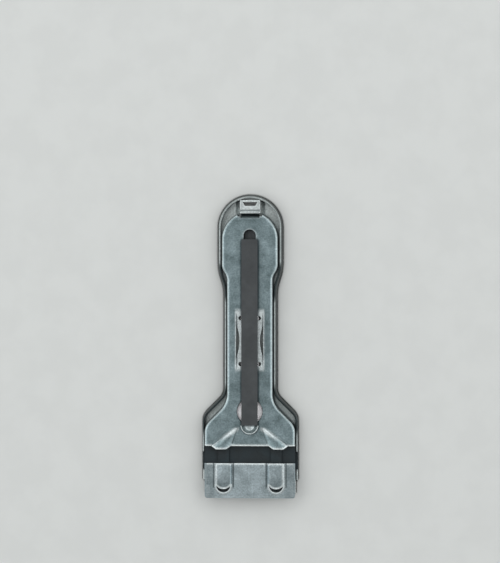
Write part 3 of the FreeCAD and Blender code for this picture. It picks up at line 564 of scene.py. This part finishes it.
def guard_highlight(nodes):
    """Painted highlight on the lips round the openings at the front of the ribs."""
    outer = nodes.between(nodes.away(RIB_CENTRE, OPENING_CENTRE), *OPENING_LIP)
    inner = nodes.between(nodes.away(RIB_CENTRE, LIP_CENTRE), *LIP_INNER)
    return nodes.all_of(outer, inner, nodes.along(*LIP_ENDS))


def guard_dull(nodes):
    """The guard's front and side edges, which are cut clean, and the inner sides of its ribs, neither
    rubbed bright nor given a painted highlight.
    """
    border = nodes.outside(nodes.patch(GUARD_INSIDE))
    inner = nodes.all_of(nodes.across(*RIB_INNER_HALF), nodes.along(*RIB_ENDS),
                         nodes.along(*GUARD_REAR_EDGE))
    return nodes.any_of(border, inner)


def guard_shaded(nodes):
    """Painted shade on the ribs, which dip towards their openings, on the feet of the ribs and on the
    guard's two ends.
    """
    off = nodes.math("ABSOLUTE", nodes.math("SUBTRACT", nodes.side(), RIB_CENTRE))
    behind_opening = nodes.along(*RIB_ENDS)
    dip = nodes.all_of(nodes.between(off, *RIB_FLOOR), nodes.along(*RIB_DIP), behind_opening, RIB_SHADE)
    foot = nodes.all_of(nodes.between(off, *FOOT_INNER), nodes.between(off, *FOOT_OUTER),
                        behind_opening, FOOT_SHADE)
    end = nodes.all_of(nodes.across(*GUARD_END), GUARD_END_SHADE)
    return nodes.any_of(dip, foot, end)


def nose_highlight(nodes):
    """Painted highlight on the leaf's raised rim and on the pip in its middle."""
    away = nodes.away(0.0, BAR_FRONT)
    rim = nodes.all_of(nodes.between(away, *NOSE_RIM), NOSE_HIGHLIGHT)
    pip = nodes.all_of(nodes.between(away, *PIP_EDGE), PIP_HIGHLIGHT)
    return nodes.any_of(rim, pip)


def base_zinc(name):
    """Pale zinc of the base, with painted shade on its upright walls and on top of them."""
    wear_and_highlight = WearAndHighlight(reach=1.0 * MM, edge=0.3, bend=0.2)
    return zinc(name, BASE_TONES, wear_and_highlight, side_shade=0.18, gap_end=0.38,
                shine=strap_shine, shaded=base_shaded, shade_tone=CURVE_SHADE_ZINC)


def cover_zinc(name):
    """Darker, bluish zinc of the cover."""
    wear_and_highlight = WearAndHighlight(reach=1.6 * MM, edge=0.3, bend=0.35)
    return zinc(name, COVER_TONES, wear_and_highlight, side_shade=0.5, gap_end=0.6,
                shine=cover_rub_and_highlight, dull=cover_dull, shaded=cover_shaded)


def guard_zinc(name):
    """Zinc of the guard, with ribs rubbed bright and given painted highlights."""
    wear_and_highlight = WearAndHighlight(reach=2.0 * MM, edge=0.9, bend=0.8)
    return zinc(name, GUARD_TONES, wear_and_highlight, shine=guard_highlight, dull=guard_dull, shaded=guard_shaded)


def spring_steel(name):
    """Plated spring steel of the leaf."""
    wear_and_highlight = WearAndHighlight(reach=0.6 * MM, edge=0.2, bend=0.2)
    return zinc(name, LEAF_TONES, wear_and_highlight, roughness=0.35, gap_end=0.5, shine=nose_highlight)


def blade_steel(name):
    """Ground steel of the blades, with painted shade where other parts cover it."""
    return steel(name, BLADE_TONE, roughness=0.3, shade_under=True)


def bright_steel(name):
    """Satin white plating of the strip and the fasteners."""
    return steel(name, STRIP_TONE, roughness=0.35, metallic=0.0)


def black_plastic(name):
    """Black plastic with a cold cast."""
    return plastic(name, BLACK_TONES, roughness=0.65)


def grey_plastic(name):
    """Dark grey plastic."""
    return plastic(name, GREY_TONES, roughness=0.6)


FINISHES = {
    "base_zinc": base_zinc,
    "cover_zinc": cover_zinc,
    "guard_zinc": guard_zinc,
    "blade_steel": blade_steel,
    "bright_steel": bright_steel,
    "spring_steel": spring_steel,
    "black_plastic": black_plastic,
    "grey_plastic": grey_plastic,
}


def dress_nodes():
    """Give every solid the finish that its material slot names."""
    materials = {slot: finish(slot) for slot, finish in FINISHES.items()}
    slots = {piece["node"]: piece["material_slot"] for piece in frame["record"]["subparts"]}
    for name, node in frame["nodes"].items():
        node.data.materials.clear()
        node.data.materials.append(materials[slots[name]])


def floor_paper():
    """Pale paper with faint fibres, and a painted shadow where the part touches it."""
    nodes = Nodes("floor_paper")
    tones = (scaled(FLOOR_TONE, FLOOR_DARKER), FLOOR_TONE)
    tone = nodes.ramp(nodes.noise(**FLOOR_FIBRE), FLOOR_SPAN, tones)
    contact_shadow = nodes.ramp(nodes.crevice(CONTACT_REACH), CONTACT_SPAN, (CREVICE_DARK, WHITE))
    nodes.feed(nodes.shader, {"Base Color": nodes.tinted(tone, contact_shadow), "Roughness": FLOOR_ROUGHNESS})
    return nodes.material


def make_floor():
    """A wide square of paper under the part."""
    half = FLOOR_SIDE / 2
    corners = [(x, y, -FLOOR_DROP) for x, y in ((-half, -half), (half, -half), (half, half), (-half, half))]
    mesh = bpy.data.meshes.new("floor")
    mesh.from_pydata(corners, [], [(0, 1, 2, 3)])
    mesh.materials.append(floor_paper())
    floor = bpy.data.objects.new("floor", mesh)
    bpy.context.collection.objects.link(floor)


def soft_box(name, place, sides, watts):
    """A rectangular lamp that faces the middle of the part."""
    lamp = bpy.data.lights.new(name, "AREA")
    lamp.shape = "RECTANGLE"
    lamp.size, lamp.size_y = sides
    lamp.energy = watts
    item = bpy.data.objects.new(name, lamp)
    item.location = place
    item.rotation_euler = (-Vector(place)).to_track_quat("-Z", "Y").to_euler()
    bpy.context.collection.objects.link(item)


def make_light():
    """An even white world with soft boxes round the part."""
    world = bpy.data.worlds.new("studio")
    bpy.context.scene.world = world
    world.use_nodes = True
    background = world.node_tree.nodes["Background"]
    background.inputs["Color"].default_value = WHITE
    background.inputs["Strength"].default_value = WORLD_STRENGTH
    for name, (place, sides, watts) in SOFT_BOXES.items():
        soft_box(name, place, sides, watts)


def make_camera():
    """A camera above the part, with its top towards the tail."""
    data = bpy.data.cameras.new("camera")
    data.sensor_fit = "VERTICAL"
    data.sensor_height = SENSOR_HEIGHT
    data.lens = SENSOR_HEIGHT * CAMERA_DISTANCE / (IMAGE_HEIGHT * MM_PER_PIXEL * MM)
    data.clip_start = CLIP_START
    back = Vector((math.sin(CAMERA_LEAN), 0.0, math.cos(CAMERA_LEAN)))
    up = Vector((0.0, 1.0, 0.0))
    turn = Matrix((up.cross(back), up, back)).transposed().to_4x4()
    camera = bpy.data.objects.new("camera", data)
    camera.matrix_world = Matrix.Translation(CAMERA_TARGET + CAMERA_DISTANCE * back) @ turn
    bpy.context.collection.objects.link(camera)
    bpy.context.scene.camera = camera


dress_nodes()
make_floor()
make_light()
make_camera()
bpy.context.scene.view_settings.view_transform = "Standard"
